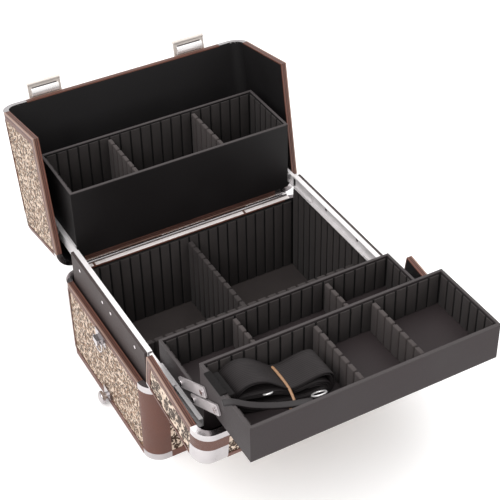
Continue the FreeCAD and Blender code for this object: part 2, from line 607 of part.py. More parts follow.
def latch(side):
    """A hinged hasp plate whose tongue reaches past the parting edge, with its eared mount."""
    word = "left" if side < 0 else "right"
    x = f"latch_{word}"
    half = "latch_width / 2"
    neck = f"({half} - {EAR} - 0.4)"
    parts = [rod(f"hasp_{word}_barrel", (x, LATCH_Y, LATCH_Z), "latch_thick", f"2 * {neck}"),
             box(f"hasp_{word}_neck", (f"{x} - {neck}", f"{x} + {neck}"), (f"{LATCH_Y} - 8", LATCH_Y),
                 (f"{LATCH_Z} - latch_thick / 2", f"{LATCH_Z} + latch_thick / 2")),
             box(f"hasp_{word}_plate", (f"{x} - {half}", f"{x} + {half}"),
                 (f"{LATCH_Y} - latch_length", f"{LATCH_Y} - 7"),
                 (f"{LATCH_Z} - latch_thick / 2", f"{LATCH_Z} + latch_thick / 2")),
             rod(f"hasp_{word}_roll", (x, f"{LATCH_Y} - latch_length", LATCH_Z), "latch_thick", "latch_width")]
    window = box(f"hasp_{word}_window", (f"{x} - {half} / 2", f"{x} + {half} / 2"),
                 (f"{REAR_EDGE} - 12.5", f"{REAR_EDGE} - 5.5"), (f"{LATCH_Z} - 5", f"{LATCH_Z} + 5"))
    bore = rod(f"hasp_{word}_bore", (x, LATCH_Y, LATCH_Z), "latch_pin_radius + rivet_clearance", "latch_width + 2")
    whole = cut(fuse(parts, f"hasp_{word}_solid"), fuse([window, bore], f"hasp_{word}_cuts"), f"latch_hasp_{word}")
    finish(whole, f"latch_hasp_{word}", REAR_LID)
    foot = box(f"mount_{word}_foot", (f"{x} - {half}", f"{x} + {half}"), (f"{LATCH_Y} - 5", f"{LATCH_Y} + 10"),
               (f"{LID_HIGH} - trim + print_skin", f"{LID_HIGH} + 1"))
    ears = [box(f"mount_{word}_ear_{k}", (f"{x} + {k} * ({half} - {EAR} / 2) - {EAR} / 2",
                                        f"{x} + {k} * ({half} - {EAR} / 2) + {EAR} / 2"),
                (f"{LATCH_Y} - 4", f"{LATCH_Y} + 4"), (f"{LID_HIGH}", f"{LATCH_Z} + 3")) for k in (-1, 1)]
    pin = rod(f"mount_{word}_pin", (x, LATCH_Y, LATCH_Z), "latch_pin_radius", "latch_width")
    keeper_foot = box(f"keeper_{word}_foot", (f"{x} - {half}", f"{x} + {half}"),
                      (f"{FRONT_EDGE} - 24", f"{FRONT_EDGE} - 9.5"), (f"{LID_HIGH} - trim + print_skin", f"{LID_HIGH} + 0.8"))
    keeper_post = box(f"keeper_{word}_post", (f"{x} - {half} / 2 + 2", f"{x} + {half} / 2 - 2"),
                      (f"{FRONT_EDGE} - 11", f"{FRONT_EDGE} - 7"), (LID_HIGH, f"{LATCH_Z} + 3"))
    return (fuse([foot, *ears, pin], f"latch_mount_{word}"), fuse([keeper_foot, keeper_post], f"keeper_{word}"))


latches = [latch(side) for side in (-1, 1)]
finish(group([pair[0] for pair in latches], "latch_mounts"), "latch_mounts", REAR_LID)
finish(group([pair[1] for pair in latches], "latch_keepers"), "latch_keepers", FRONT_LID)

HANDLE_Y, HANDLE_Z = "(front_lid_depth - 20)", f"({LID_HIGH} + handle_bar / 2 + 2)"
half_span = "handle_span / 2"
handle_parts = [box("handle_grip", (f"-{half_span}", half_span),
                    (f"{HANDLE_Y} + handle_drop + 12", f"{HANDLE_Y} + handle_drop + 12 + handle_section"),
                    (f"{HANDLE_Z} - handle_bar / 2", f"{HANDLE_Z} + handle_bar / 2"))]
for side in (-1, 1):
    x = (f"{half_span} - 10", half_span) if side > 0 else (f"-{half_span}", f"-{half_span} + 10")
    handle_parts.append(box(f"handle_arm_{side + 1}", x,
                            (f"{HANDLE_Y} - 5", f"{HANDLE_Y} + handle_drop + 12 + handle_section"),
                            (f"{HANDLE_Z} - handle_bar / 2", f"{HANDLE_Z} + handle_bar / 2")))
handle_solid = fuse(handle_parts, "handle_solid")
handle_bore = rod("handle_bore", ("0", HANDLE_Y, HANDLE_Z), "handle_pin_radius + rivet_clearance", "handle_span + 2")
handle_y = size("front_lid_depth") - 20
handle_z = size("base_height") + size("lid_height") + size("handle_bar") / 2 + 2
hanging = swung(handle_y, handle_z, size("rear_open") - 90)
finish(cut(handle_solid, handle_bore, "carry_handle"), "carry_handle", REAR_LID.multiply(hanging))
mounts = []
for side in (-1, 1):
    outer = f"{side} * ({half_span} + 5.5)"
    block = box(f"handle_mount_block_{side + 1}", (f"{outer} - 5", f"{outer} + 5"), (f"{HANDLE_Y} - 7", f"{HANDLE_Y} + 7"),
                (f"{LID_HIGH} - trim + print_skin", f"{HANDLE_Z} + handle_bar / 2"))
    pin = rod(f"handle_mount_pin_{side + 1}", (f"{side} * ({half_span} - 1.5)", HANDLE_Y, HANDLE_Z), "handle_pin_radius", "15")
    mounts.append(fuse([block, pin], f"handle_mount_{side + 1}"))
finish(group(mounts, "handle_mounts"), "handle_mounts", REAR_LID)

# ---------------------------------------------------------------- strap rings, side studs and the carry strap

RING_Z, RING_X = "(base_height - 12)", f"({HALF_WIDTH} + 5)"
plates, studs = [], []
for side in (-1, 1):
    word = "left" if side < 0 else "right"

    def flank(low, high, side=side):
        return (low, high) if side > 0 else (f"-({high})", f"-({low})")

    plate = box(f"ring_plate_{word}", flank(HALF_WIDTH, f"{HALF_WIDTH} + 1.6"),
                ("ring_place - ring_half_width - 3", "ring_place + ring_half_width + 3"), (f"{RING_Z} - 6", f"{RING_Z} + 8"))
    spacer = box(f"ring_spacer_{word}", flank(f"{SHELL_X} + print_skin", HALF_WIDTH),
                 ("ring_place - ring_half_width", "ring_place + ring_half_width"),
                 (f"{RING_Z} - 6", "base_height - trim_band"))
    eye = box(f"ring_eye_{word}", flank(f"{HALF_WIDTH} + 1", f"{RING_X} + ring_eye"),
              ("ring_place - 6", "ring_place + 6"), (f"{RING_Z} - ring_eye", f"{RING_Z} + ring_eye"))
    bore = rod(f"ring_bore_{word}", (f"{side} * {RING_X}", "ring_place", RING_Z), "ring_wire / 2 + 0.45", "16", "y")
    plates.append(cut(fuse([plate, spacer, eye], f"ring_holder_{word}"), bore, f"ring_mount_{word}"))
    bar = rod(f"ring_bar_{word}", (f"{side} * {RING_X}", "ring_place", RING_Z), "ring_wire / 2", "2 * ring_half_width", "y")
    posts = [rod(f"ring_post_{word}_{k}", (f"{side} * {RING_X}", f"ring_place + {k} * ring_half_width",
                                         f"{RING_Z} - (ring_depth - ring_half_width) / 2"),
                 "ring_wire / 2", "ring_depth - ring_half_width", "z") for k in (-1, 1)]
    balls = []
    for k in (-1, 1):
        ball = doc.addObject("Part::Sphere", f"ring_ball_{word}_{k + 1}")
        bind(ball, Radius="ring_wire / 2", Placement__Base__x=f"{side} * {RING_X}",
             Placement__Base__y=f"ring_place + {k} * ring_half_width", Placement__Base__z=RING_Z)
        balls.append(ball)
    bow = doc.addObject("Part::Torus", f"ring_bow_{word}")
    bow.Angle3 = 180
    turn = FreeCAD.Rotation(FreeCAD.Vector(0, 1, 0), FreeCAD.Vector(0, 0, -1), FreeCAD.Vector(-1, 0, 0), "XYZ")
    bow.Placement = FreeCAD.Placement(FreeCAD.Vector(), turn)
    bind(bow, Radius1="ring_half_width", Radius2="ring_wire / 2", Placement__Base__x=f"{side} * {RING_X}",
         Placement__Base__y="ring_place", Placement__Base__z=f"{RING_Z} - (ring_depth - ring_half_width)")
    finish(fuse([bar, *posts, *balls, bow], f"strap_ring_{word}"), f"strap_ring_{word}")
    back = box(f"stud_plate_{word}", flank(f"{SHELL_X} + print_skin", f"{HALF_WIDTH} + 1.4"), ("-9", "9"),
               ("trim_band", "trim_band + 12"))
    stem = rod(f"stud_stem_{word}", (f"{side} * ({HALF_WIDTH} + 3.5)", "0", "trim_band + 1"), "5", "7")
    dish = rod(f"stud_dish_{word}", (f"{side} * ({HALF_WIDTH} + 8)", "0", "trim_band + 1"), "8", "3")
    studs.append(fuse([back, stem, dish], f"stud_{word}"))
finish(group(plates, "strap_ring_mounts"), "strap_ring_mounts")
finish(group(studs, "side_studs"), "side_studs")

STRAP_Y = f"({UPPER_FRONT} + 43)"
STRAP_FLOOR = f"({UPPER_BOTTOM} + tray_floor + 0.4)"
strap_x = ("strap_place - strap_length / 2", "strap_place + strap_length / 2")
strap_y = (STRAP_Y, f"{STRAP_Y} + strap_width")
finish(box("carry_strap", strap_x, strap_y, (STRAP_FLOOR, f"{STRAP_FLOOR} + strap_stack")), "carry_strap")
band_x = ("strap_place + 12", "strap_place + 12 + band_width")
band_outer = box("band_outer", band_x, (f"{strap_y[0]} - 0.3 - band", f"{strap_y[1]} + 0.3 + band"),
                 (f"{STRAP_FLOOR} - 0.35", f"{STRAP_FLOOR} + strap_stack + 0.3 + band"))
band_inner = box("band_inner", ("strap_place + 11", "strap_place + 13 + band_width"),
                 (f"{strap_y[0]} - 0.3", f"{strap_y[1]} + 0.3"), (f"{STRAP_FLOOR} - 0.1", f"{STRAP_FLOOR} + strap_stack + 0.3"))
finish(cut(band_outer, band_inner, "strap_band"), "strap_band")

# ---------------------------------------------------------------- check and write

doc.recompute()
for item in doc.Objects:
    if "Invalid" in item.State or "Error" in item.State:
        raise RuntimeError(f"{item.Name}: {item.State}")
os.makedirs("parts", exist_ok=True)
for item in nodes:
    shape = item.Shape
    if shape.isNull() or not shape.isValid() or not shape.Solids:
        raise RuntimeError(f"{item.Label} has no valid solid")
for item in nodes:
    item.Shape.exportStep(f"parts/{item.Label}.step")
    print(item.Label, len(item.Shape.Solids), round(item.Shape.Volume))
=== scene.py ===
"""Looks of a makeup train case that stands open: coverings, grooved linings, trays, slides, fittings and strap."""

import json
import math

import bmesh
import bpy
from bpy.props import FloatProperty, FloatVectorProperty, IntProperty, PointerProperty
from mathutils import Matrix, Vector


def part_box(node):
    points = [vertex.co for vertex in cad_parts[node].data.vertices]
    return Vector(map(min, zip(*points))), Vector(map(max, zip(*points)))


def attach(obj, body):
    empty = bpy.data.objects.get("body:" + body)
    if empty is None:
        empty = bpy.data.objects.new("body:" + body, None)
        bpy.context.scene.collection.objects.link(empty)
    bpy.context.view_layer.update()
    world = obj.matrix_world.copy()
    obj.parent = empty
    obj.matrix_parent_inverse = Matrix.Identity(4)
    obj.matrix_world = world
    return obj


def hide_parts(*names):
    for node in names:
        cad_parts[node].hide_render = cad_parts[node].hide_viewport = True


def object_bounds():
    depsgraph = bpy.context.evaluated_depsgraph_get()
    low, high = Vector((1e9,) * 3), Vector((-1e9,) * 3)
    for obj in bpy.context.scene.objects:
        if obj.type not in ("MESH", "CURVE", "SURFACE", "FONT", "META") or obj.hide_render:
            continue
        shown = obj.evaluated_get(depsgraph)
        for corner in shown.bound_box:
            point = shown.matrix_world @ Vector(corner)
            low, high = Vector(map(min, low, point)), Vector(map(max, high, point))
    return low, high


bl_info = {
    "name": "Makeup Train Case",
    "version": (1, 0, 0),
    "blender": (4, 5, 0),
    "location": "View3D > Sidebar > Train Case",
    "description": "Dresses the train case's frame with coverings, linings, fittings and a folded strap",
    "category": "Object",
}

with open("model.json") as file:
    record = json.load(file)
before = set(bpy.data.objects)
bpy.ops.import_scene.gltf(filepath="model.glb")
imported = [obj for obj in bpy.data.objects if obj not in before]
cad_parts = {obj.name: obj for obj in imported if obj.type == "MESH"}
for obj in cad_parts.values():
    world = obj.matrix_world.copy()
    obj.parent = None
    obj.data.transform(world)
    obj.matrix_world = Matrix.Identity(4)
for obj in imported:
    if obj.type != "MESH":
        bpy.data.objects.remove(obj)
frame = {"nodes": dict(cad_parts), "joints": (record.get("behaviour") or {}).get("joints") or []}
CAD_BOX = [list(corner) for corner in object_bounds()]
NODES = frame["nodes"]
JOINTS = {joint["name"]: joint for joint in frame["joints"]}
MM = 0.001

REAR_OPEN, FRONT_OPEN = -100.4, 98.5    # degrees each part of the lid has turned from closed
CASE_TOP = 0.232                        # top of the closed lid
PARTING = -0.055                        # where the lid's two parts meet, on Y
LID_GAP = 0.0005                        # between the base's rim and the closed lid

# These are in millimetres, as the modelling functions take them.
LINER_THICK, TRAY_LINING, TRAY_WALL, DIVIDER_THICK = 4.4, 2.2, 3.0, 5.0
LATCH_MIDDLES = {"left": -103, "right": 93}
STRAP_PINCH = -75.0                     # where the band holds the hank, on X
STRAP_SLANT = 0.26                      # the hank lies askew: Y lost for each unit of X

CAMERA_PLACE = Vector((-0.5367, -1.0556, 1.1023))
CAMERA_RIGHT = Vector((0.8743, -0.4851, -0.0190))
CAMERA_UP = Vector((0.3151, 0.5372, 0.7824))
CAMERA_BACK = Vector((-0.3693, -0.6900, 0.6225))
CAMERA_LENS, CAMERA_SENSOR = 94.689, 36.0


# ---------------------------------------------------------------- sizes and colours a user would change

def length(name, description, default, low=0.0001, high=1.0):
    return FloatProperty(name=name, description=description, default=default, min=low, max=high,
                         subtype="DISTANCE", unit="LENGTH")


def colour(name, description, default):
    return FloatVectorProperty(name=name, description=description, default=default, size=3, min=0, max=1,
                               subtype="COLOR")


class LiningSizes(bpy.types.PropertyGroup):
    """The grooved foam of the compartment and the trays"""
    pitch: length("Groove pitch", "Distance from one groove of a lining to the next", 0.0136)
    groove: length("Groove width", "Width of a groove that holds a divider", 0.0023)
    depth: length("Groove depth", "How far a foam rib stands off its backing", 0.0014)
    soft: length("Rib rounding", "Radius of a foam rib's edges", 0.0006)


class StrapSizes(bpy.types.PropertyGroup):
    """The wound carry strap"""
    width: length("Webbing width", "Width of the carry strap", 0.038)
    thick: length("Webbing thickness", "Thickness of the carry strap", 0.0012)
    flat: length("Webbing length", "Length of the carry strap laid flat", 1.05, high=3)
    turns: IntProperty(name="Turns", description="How many times the strap is wound", default=5, min=2, max=8)


class CaseColours(bpy.types.PropertyGroup):
    """The case's main colours"""
    cream: colour("Print ground", "Light ground of the spotted print", (0.65, 0.53, 0.43))
    tan: colour("Print tan", "Middle colour of the spotted print", (0.235, 0.125, 0.062))
    spots: colour("Print spots", "Dark spots of the print", (0.034, 0.0155, 0.007))
    leather: colour("Leather", "Brown leather of the corners", (0.100, 0.030, 0.0165))
    trim: colour("Edge trim", "Lighter brown of the edge trims", (0.122, 0.041, 0.025))
    trays: colour("Tray covering", "Charcoal covering of the trays", (0.0314, 0.0236, 0.0246))
    foam: colour("Foam lining", "Dark foam of the grooved linings", (0.0200, 0.0165, 0.0160))
    metal: colour("Plated metal", "Bright plated corners and fittings", (0.52, 0.49, 0.497))


# ---------------------------------------------------------------- shader writing

class Value:
    """A shader socket that adds Math nodes when it is used in an expression."""

    def __init__(self, finish, socket):
        self.finish, self.socket = finish, socket

    def math(self, operation, *terms):
        return self.finish.node("ShaderNodeMath", {"operation": operation}, dict(enumerate(terms)))

    def __add__(self, other):
        return self.math("ADD", self, other)

    def __sub__(self, other):
        return self.math("SUBTRACT", self, other)

    def __rsub__(self, other):
        return self.math("SUBTRACT", other, self)

    def __mul__(self, other):
        return self.math("MULTIPLY", self, other)

    def __truediv__(self, other):
        return self.math("DIVIDE", self, other)

    def __lt__(self, other):
        return self.math("LESS_THAN", self, other)

    def __gt__(self, other):
        return self.math("GREATER_THAN", self, other)

    def __or__(self, other):
        return self.math("MAXIMUM", self, other)

    def __and__(self, other):
        return self.math("MINIMUM", self, other)

    __radd__, __rmul__ = __add__, __mul__

    def size(self):
        return self.math("ABSOLUTE", self)

    def wave(self, pitch):
        """0 to 1 and back once in each pitch."""
        return self.math("PINGPONG", self, pitch / 2) / (pitch / 2)


class Finish:
    """A material on one Principled shader, written node by node."""

    def __init__(self, name, **fixed):
        self.material = bpy.data.materials.new(name)
        self.material.use_nodes = True
        self.tree = self.material.node_tree
        self.shader = next(n for n in self.tree.nodes if n.type == "BSDF_PRINCIPLED")
        for socket, value in fixed.items():
            self.set(socket.replace("_", " "), value)

    def feed(self, target, value):
        """Link or set an input; a colour gets its fourth channel."""
        if isinstance(value, Value):
            self.tree.links.new(value.socket, target)
        elif target.type == "RGBA" and len(value) == 3:
            target.default_value = (*value, 1)
        else:
            target.default_value = value

    def set(self, socket, value):
        self.feed(self.shader.inputs[socket], value)

    def node(self, kind, settings=(), inputs=(), output=0):
        made = self.tree.nodes.new(kind)
        for key, value in dict(settings).items():
            setattr(made, key, value)
        for key, value in dict(inputs).items():
            self.feed(made.inputs[key], value)
        return Value(self, made.outputs[output])

    def place(self, turn=None):
        """Object coordinates, brought back to the closed lid's when the piece is on a lid."""
        at = self.node("ShaderNodeTexCoord", output="Object")
        if turn is None:
            return at
        back = turn.inverted()
        return self.node("ShaderNodeMapping", {"vector_type": "POINT"},
                         {"Vector": at, "Rotation": back.to_euler(), "Location": back.to_translation()})

    def axis(self, at, letter):
        return self.node("ShaderNodeSeparateXYZ", (), {"Vector": at}, output=letter)

    def noise(self, at, scale, detail=3.0, rough=0.5, output="Fac"):
        return self.node("ShaderNodeTexNoise", (), {"Vector": at, "Scale": scale, "Detail": detail,
                                                  "Roughness": rough}, output=output)

    def cells(self, at, scale, feature="F1", output="Distance"):
        return self.node("ShaderNodeTexVoronoi", {"feature": feature}, {"Vector": at, "Scale": scale}, output=output)

    def mix(self, factor, first, second):
        return self.node("ShaderNodeMix", {"data_type": "RGBA"}, {0: factor, 6: first, 7: second}, output=2)

    def map(self, value, low, high, start=0.0, end=1.0):
        return self.node("ShaderNodeMapRange", {"clamp": True},
                         {"Value": value, "From Min": low, "From Max": high, "To Min": start, "To Max": end})

    def bump(self, height, distance, strength=1.0, under=None):
        sockets = {"Height": height, "Distance": distance, "Strength": strength}
        if under is not None:
            sockets["Normal"] = under
        return self.node("ShaderNodeBump", (), sockets, output="Normal")


def shade(rgb, times):
    """A colour made darker or lighter."""
    return tuple(min(1.0, c * times) for c in rgb)


# ---------------------------------------------------------------- finishes of the case

def colours():
    return bpy.context.scene.case_colours


def spotted_print(name, front_below=None):
    """Printed cloth: broken dark rings and tan blots on a cream ground, larger where Y is below front_below."""
    c = colours()
    small, large = 240, 125
    f = Finish(name, Roughness=0.6, Specular_IOR_Level=0.16)
    at = f.place()
    warp = f.noise(at, 240, 2, output="Color")
    loose = f.node("ShaderNodeVectorMath", {"operation": "SCALE"}, {0: warp, "Scale": 0.0034}, output=0)
    bent = f.node("ShaderNodeVectorMath", {"operation": "ADD"}, {0: at, 1: loose}, output=0)
    spot = f.cells(bent, small)
    kind = f.axis(f.cells(bent, small, output="Color"), "X")
    if front_below is not None:
        front = f.axis(at, "Y") < front_below
        spot = front * (f.cells(bent, large) - 0.10) + (1 - front) * spot
        kind = front * f.axis(f.cells(bent, large, output="Color"), "X") * 0.6 + (1 - front) * kind
    reach = 0.46 + kind * 0.20
    dark = f.map(spot - reach, -0.02, 0.02, 1, 0)
    centre = f.map(spot - reach * 0.6, -0.05, 0.03, 1, 0) * (kind > 0.6)
    broken = f.map(f.noise(at, 380, 2), 0.37, 0.45)
    dark = dark * broken * (1 - centre)
    fleck = f.map(f.noise(bent, 300, 2), 0.47, 0.56)
    fleck = fleck * (0.85 if front_below is None else 0.85 - front * 0.55)
    ground = f.mix(fleck, tuple(c.cream), tuple(c.tan))
    ground = f.mix(centre, ground, tuple(c.tan))
    f.set("Base Color", f.mix(dark, ground, tuple(c.spots)))
    f.set("Roughness", f.map(f.noise(at, 700), 0.3, 0.7, 0.42, 0.62))
    f.set("Normal", f.bump(f.noise(at, 1500, 2), 0.00005))
    return f.material


def leather(name, tone, turn=None, rim=None, parting=None):
    """Grained leather; an edge trim has pressed ridges that follow its rim and the parting edge, and a painted
    highlight along its outer edge.
    """
    f = Finish(name, Roughness=0.5)
    at = f.place(turn)
    grain = f.cells(at, 900, "DISTANCE_TO_EDGE")
    pits = f.noise(at, 2200, 2)
    cloud = f.noise(at, 24, 3)
    base = f.mix(f.map(cloud, 0.3, 0.7), shade(tone, 0.86), shade(tone, 1.14))
    base = f.mix(f.map(grain, 0.0, 0.05, 0.5, 0), base, shade(tone, 0.55))
    normal = f.bump(f.map(grain, 0, 0.12) + pits * 0.4, 0.00012, 0.6)
    if rim is not None:
        over, along = f.axis(at, "Y"), f.axis(at, "Z")
        up = (along - rim).size()
        inward = (CASE_HALF[0] - f.axis(at, "X").size()) & (CASE_HALF[1] - over.size())
        if parting is not None:
            inward = inward & (CASE_TOP - along)
            up = up & (over - parting).size()
        line = f.map((up - 0.0035).size(), 0.0001, 0.0007, 1, 0)
        for place in (0.0026, 0.0047):
            line = line | f.map((inward - place).size(), 0.0001, 0.0006, 1, 0)
        # Painted highlight: a pale line along the trim's outer edge, where light would catch it.
        pale = f.map((up - 0.0008).size() | (inward - 0.0006).size(), 0.0005, 0.0013, 0.6, 0)
        base = f.mix(line * 0.8, base, shade(tone, 0.25))
        base = f.mix(pale, base, (0.42, 0.30, 0.24))
        normal = f.bump(line * -1, 0.0007, 1.0, normal)
    f.set("Base Color", base)
    f.set("Roughness", f.map(cloud + pits * 0.3, 0.4, 0.9, 0.38, 0.58))
    f.set("Normal", normal)
    return f.material


def leathercloth(name, tone, rim=None, rim_tone=None):
    """Fine-grained charcoal covering, blended to another tone near a rim."""
    f = Finish(name, Roughness=0.62, Specular_IOR_Level=0.26)
    at = f.place()
    weave = f.cells(at, 1700, "SMOOTH_F1")
    cloud = f.noise(at, 16, 3)
    base = f.mix(f.map(cloud, 0.3, 0.7), shade(tone, 0.9), shade(tone, 1.12))
    base = f.mix(f.map(weave, 0.2, 0.6, 0, 0.35), base, shade(tone, 0.6))
    if rim is not None:
        # Towards the top of a rim the covering blends into rim_tone, broken up by noise.
        near_rim = f.map(f.axis(at, "Z"), rim - 0.0011, rim - 0.0002)
        base = f.mix(near_rim * f.map(f.noise(at, 260, 2), 0.25, 0.5, 0.6, 1), base, rim_tone)
    f.set("Base Color", base)
    f.set("Roughness", f.map(cloud + weave * 0.4, 0.3, 0.9, 0.5, 0.68))
    f.set("Normal", f.bump(weave, 0.00012, 0.6))
    return f.material


def foam(name, tone):
    """Dense foam covered with brushed cloth."""
    f = Finish(name, Roughness=0.85, Specular_IOR_Level=0.3, Sheen_Weight=0.04)
    at = f.place()
    nap = f.noise(at, 1300, 4, 0.65)
    cloud = f.noise(at, 30, 3)
    base = f.mix(f.map(nap, 0.3, 0.7), shade(tone, 0.75), shade(tone, 1.3))
    f.set("Base Color", f.mix(f.map(cloud, 0.3, 0.75, 0, 0.5), base, shade(tone, 1.5)))
    f.set("Roughness", f.map(nap, 0.3, 0.7, 0.78, 0.95))
    f.set("Normal", f.bump(nap, 0.00016, 0.7))
    return f.material


def plated(name, tone, rough=0.16, brushed=None, shine=1.0):
    """Bright plated metal with faint smears, brushed along one axis where it is rolled steel."""
    f = Finish(name, Metallic=shine, Roughness=rough)
    at = f.place()
    smear = f.noise(at, 60, 4, 0.6)
    f.set("Base Color", f.mix(f.map(smear, 0.35, 0.75), tuple(tone), shade(tone, 0.86)))
    if brushed:
        long = f.node("ShaderNodeMapping", {"vector_type": "POINT"}, {"Vector": at, "Scale": brushed})
        lines = f.noise(long, 900, 3, 0.6)
        f.set("Roughness", f.map(lines + smear * 0.4, 0.4, 1.0, rough * 0.8, rough * 1.7))
        f.set("Normal", f.bump(lines, 0.00004, 0.5))
    else:
        f.set("Roughness", f.map(smear, 0.3, 0.8, rough * 0.7, rough * 1.6))
        f.set("Normal", f.bump(f.noise(at, 90, 2), 0.0001, 0.25))
    return f.material


def webbing(name):
    """Woven strap: ribs along its length, crossed by fine threads."""
    f = Finish(name, Roughness=0.75, Specular_IOR_Level=0.24)
    at = f.place()
    rib = (f.axis(at, "Y") + f.axis(at, "X") * STRAP_SLANT).wave(2.3 * MM)
    cross = f.axis(at, "X").wave(0.9 * MM)
    height = rib * 0.8 + cross * 0.2
    cloud = f.noise(at, 60, 2)
    tone = (0.0145, 0.0118, 0.0121)
    base = f.mix(f.map(height, 0.1, 0.6), shade(tone, 0.25), shade(tone, 1.35))
    f.set("Base Color", f.mix(f.map(cloud, 0.3, 0.7, 0, 0.4), base, shade(tone, 1.6)))
    f.set("Roughness", f.map(height, 0, 1, 0.8, 0.55))
    f.set("Normal", f.bump(height, 0.0003, 0.8))
    return f.material


def rubber(name, tone, rough=0.5, gloss=0.5):
    """Smooth rubber or sealed leather, faintly dusty."""
    f = Finish(name, Roughness=rough, Specular_IOR_Level=gloss)
    at = f.place()
    dust = f.noise(at, 420, 3)
    f.set("Base Color", f.mix(f.map(dust, 0.35, 0.7), tuple(tone), shade(tone, 1.35)))
    f.set("Roughness", f.map(dust, 0.3, 0.7, rough * 0.85, rough * 1.2))
    f.set("Normal", f.bump(dust, 0.00006, 0.5))
    return f.material


def wear(material, *nodes):
    """Give CAD nodes a finish."""
    for node in nodes:
        mesh = NODES[node].data
        mesh.materials.clear()
        mesh.materials.append(material)


# ---------------------------------------------------------------- modelling

def block(bm, x, y, z):
    """A block between two limits on each axis, in millimetres."""
    made = bmesh.ops.create_cube(bm, size=1.0)["verts"]
    bmesh.ops.scale(bm, vec=[(b - a) * MM for a, b in (x, y, z)], verts=made)
    bmesh.ops.translate(bm, vec=[(a + b) / 2 * MM for a, b in (x, y, z)], verts=made)
    return made


def dome(bm, centre, radius, flat):
    """A ball squeezed along X to a low dome, in millimetres."""
    made = bmesh.ops.create_uvsphere(bm, u_segments=20, v_segments=10, radius=radius * MM)["verts"]
    bmesh.ops.scale(bm, vec=(flat, 1, 1), verts=made)
    bmesh.ops.translate(bm, vec=Vector(centre) * MM, verts=made)


def ordered(a, b):
    return (a, b) if a < b else (b, a)


def soften(bm, radius, segments=2, verts=None):
    """Round every edge, or the edges of some corners."""
    chosen = bm.edges if verts is None else {e for v in verts for e in v.link_edges}
    bmesh.ops.bevel(bm, geom=list(chosen), offset=radius, offset_type="OFFSET", segments=segments, profile=0.5,
                    affect="EDGES", clamp_overlap=True, material=-1)


def piece(name, bm, body, material, place=None, replaces=(), smooth=30, keep_normals=False):
    """Turn a bmesh into a finished piece that rides on a body."""
    if place is not None:
        bmesh.ops.transform(bm, matrix=place, verts=bm.verts)
    if not keep_normals:
        bmesh.ops.recalc_face_normals(bm, faces=bm.faces)
    mesh = bpy.data.meshes.new(name)
    bm.to_mesh(mesh)
    bm.free()
    mesh.materials.append(material)
    made = bpy.data.objects.new(name, mesh)
    bpy.context.scene.collection.objects.link(made)
    if smooth:
        mesh.set_sharp_from_angle(angle=math.radians(smooth))
        for face in mesh.polygons:
            face.use_smooth = True
    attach(made, body)
    if replaces:
        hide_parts(*replaces)
    return made


def opened(joint, degrees):
    """Where a lid piece drawn closed goes when the lid stands open."""
    pivot = Vector(JOINTS[joint]["pos_m"])
    return Matrix.Translation(pivot) @ Matrix.Rotation(math.radians(degrees), 4, "X") @ Matrix.Translation(-pivot)


CASE_HALF = tuple(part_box("base_edge_frame")[1])[:2]
REAR_TURN = opened("rear_lid_hinge", REAR_OPEN)
FRONT_TURN = opened("front_lid_hinge", FRONT_OPEN)


def limits(node):
    """A node's limits on each axis in millimetres."""
    low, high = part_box(node)
    return tuple((low[k] / MM, high[k] / MM) for k in range(3))


def runs(span):
    """The limits of each foam rib along a wall, with a groove between two."""
    sizes = bpy.context.scene.lining_sizes
    count = max(1, round((span[1] - span[0]) * MM / sizes.pitch))
    step, gap = (span[1] - span[0]) / count, sizes.groove / MM
    return [(span[0] + k * step + gap / 2, span[0] + (k + 1) * step - gap / 2) for k in range(count)]


def laid(bm, across, run, over, z):
    """A block whose run lies along X or Y."""
    return block(bm, run, over, z) if across == "X" else block(bm, over, run, z)


def ribs(bm, across, face, inward, span, z):
    """A row of foam ribs along a wall's face; returns their corners."""
    out = ordered(face, face + inward * bpy.context.scene.lining_sizes.depth / MM)
    return [corner for run in runs(span) for corner in laid(bm, across, run, out, z)]


def beads(bm, across, middle, thick, span, z):
    """A divider of full-thickness foam ribs on a thin core; returns the ribs' corners."""
    full, core = (middle - thick / 2, middle + thick / 2), (middle - thick * 0.22, middle + thick * 0.22)
    made = [corner for run in runs(span) for corner in laid(bm, across, run, full, z)]
    laid(bm, across, span, core, (z[0], z[1] - 2.2))
    return made


def sweep(bm, edges, along):
    """Draw edges out into a band."""
    grown = bmesh.ops.extrude_edge_only(bm, edges=list(edges))["geom"]
    bmesh.ops.translate(bm, vec=along, verts=[g for g in grown if isinstance(g, bmesh.types.BMVert)])


def thicken(item, thickness):
    """Give a band its thickness, half to each side."""
    walls = item.modifiers.new("thickness", "SOLIDIFY")
    walls.thickness, walls.offset = thickness, 0


def drawn_line(context, points, closed=False):
    """A smooth open or closed line through free space, as a bmesh of edges; points are in millimetres."""
    line = bpy.data.curves.new("drawn_line", "CURVE")
    line.dimensions, line.resolution_u = "3D", 4
    run = line.splines.new("NURBS")
    run.points.add(len(points) - 1)
    for point, place in zip(run.points, points):
        point.co = (*(Vector(place) * MM), 1)
    run.order_u, run.use_endpoint_u, run.use_cyclic_u = 4, not closed, closed
    holder = bpy.data.objects.new("drawn_line", line)
    context.scene.collection.objects.link(holder)
    context.view_layer.update()
    path = bpy.data.meshes.new_from_object(holder.evaluated_get(context.evaluated_depsgraph_get()))
    bpy.data.objects.remove(holder)
    bpy.data.curves.remove(line)
    bm = bmesh.new()
    bm.from_mesh(path)
    bpy.data.meshes.remove(path)
    return bm


# ---------------------------------------------------------------- operators, one for each group of pieces

